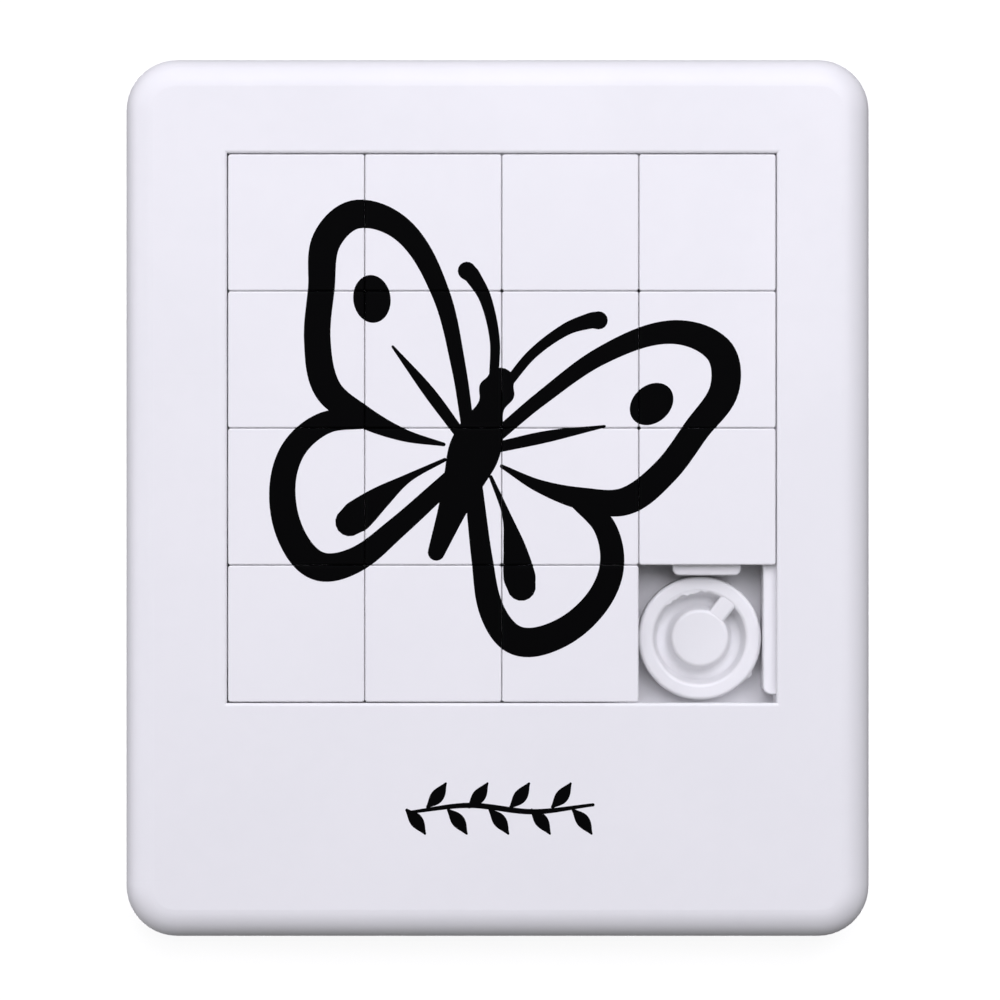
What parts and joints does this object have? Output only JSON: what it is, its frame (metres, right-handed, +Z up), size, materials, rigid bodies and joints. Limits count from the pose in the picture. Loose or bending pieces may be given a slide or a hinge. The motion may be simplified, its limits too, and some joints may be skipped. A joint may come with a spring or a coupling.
{
  "type": "sliding tile puzzle",
  "caption": "Flat moulded frame with a square window, a grid of interlocking square tiles that slide by way of one empty cell, and a loose round plug in that cell.",
  "frame": {"origin": "middle of the flat back face, where the puzzle rests on a table", "axes": "+Z up out of the tiles' faces, +Y towards the end of the frame with the narrow margin, +X to the right as the face is read"},
  "size_m": [0.07, 0.0826, 0.0082],
  "materials": {
    "frame_plastic": "satin",
    "tile_plastic": "satin",
    "plug_plastic": "satin",
    "printed_ink": "matte"
  },
  "bodies": {
    "frame": {"front_bezel": "frame_plastic", "rear_tray": "frame_plastic"},
    "plug": {"transit_plug": "plug_plastic"},
    "tile_01": {"tile_01": "tile_plastic"},
    "tile_02": {"tile_02": "tile_plastic"},
    "tile_03": {"tile_03": "tile_plastic"},
    "tile_04": {"tile_04": "tile_plastic"},
    "tile_05": {"tile_05": "tile_plastic"},
    "tile_06": {"tile_06": "tile_plastic"},
    "tile_07": {"tile_07": "tile_plastic"},
    "tile_08": {"tile_08": "tile_plastic"},
    "tile_09": {"tile_09": "tile_plastic"},
    "tile_10": {"tile_10": "tile_plastic"},
    "tile_11": {"tile_11": "tile_plastic"},
    "tile_12": {"tile_12": "tile_plastic"},
    "tile_13": {"tile_13": "tile_plastic"},
    "tile_14": {"tile_14": "tile_plastic"},
    "tile_15": {"tile_15": "tile_plastic"}
  },
  "joints": [
    {"name": "bottom_row_slide", "type": "slide", "parent": "frame", "child": "tile_13", "axis": [-1, 0, 0], "range_m": [-0.01285, 0]},
    {"name": "bottom_row_slide_tile_14", "type": "slide", "parent": "frame", "child": "tile_14", "axis": [-1, 0, 0], "range_m": [-0.01285, 0]},
    {"name": "bottom_row_slide_tile_15", "type": "slide", "parent": "frame", "child": "tile_15", "axis": [-1, 0, 0], "range_m": [-0.01285, 0]},
    {"name": "right_column_slide", "type": "slide", "parent": "frame", "child": "tile_04", "axis": [0, -1, 0], "range_m": [0, 0.01285]},
    {"name": "right_column_slide_tile_08", "type": "slide", "parent": "frame", "child": "tile_08", "axis": [0, -1, 0], "range_m": [0, 0.01285]},
    {"name": "right_column_slide_tile_12", "type": "slide", "parent": "frame", "child": "tile_12", "axis": [0, -1, 0], "range_m": [0, 0.01285]},
    {"name": "plug_lift", "type": "slide", "parent": "frame", "child": "plug", "axis": [0, 0, 1], "range_m": [0, 0.012]},
    {"name": "tile_01_play", "type": "slide", "parent": "frame", "child": "tile_01", "axis": [1, 0, 0], "range_m": [-0.00002, 0.00002]},
    {"name": "tile_02_play", "type": "slide", "parent": "frame", "child": "tile_02", "axis": [1, 0, 0], "range_m": [-0.00002, 0.00002]},
    {"name": "tile_03_play", "type": "slide", "parent": "frame", "child": "tile_03", "axis": [1, 0, 0], "range_m": [-0.00002, 0.00002]},
    {"name": "tile_05_play", "type": "slide", "parent": "frame", "child": "tile_05", "axis": [1, 0, 0], "range_m": [-0.00002, 0.00002]},
    {"name": "tile_06_play", "type": "slide", "parent": "frame", "child": "tile_06", "axis": [1, 0, 0], "range_m": [-0.00002, 0.00002]},
    {"name": "tile_07_play", "type": "slide", "parent": "frame", "child": "tile_07", "axis": [1, 0, 0], "range_m": [-0.00002, 0.00002]},
    {"name": "tile_09_play", "type": "slide", "parent": "frame", "child": "tile_09", "axis": [1, 0, 0], "range_m": [-0.00002, 0.00002]},
    {"name": "tile_10_play", "type": "slide", "parent": "frame", "child": "tile_10", "axis": [1, 0, 0], "range_m": [-0.00002, 0.00002]},
    {"name": "tile_11_play", "type": "slide", "parent": "frame", "child": "tile_11", "axis": [1, 0, 0], "range_m": [-0.00002, 0.00002]}
  ],
  "couplings": [
    {"joint": "bottom_row_slide_tile_14", "follows": "bottom_row_slide", "ratio": 1},
    {"joint": "bottom_row_slide_tile_15", "follows": "bottom_row_slide", "ratio": 1},
    {"joint": "right_column_slide_tile_08", "follows": "right_column_slide", "ratio": 1},
    {"joint": "right_column_slide_tile_12", "follows": "right_column_slide", "ratio": 1}
  ]
}
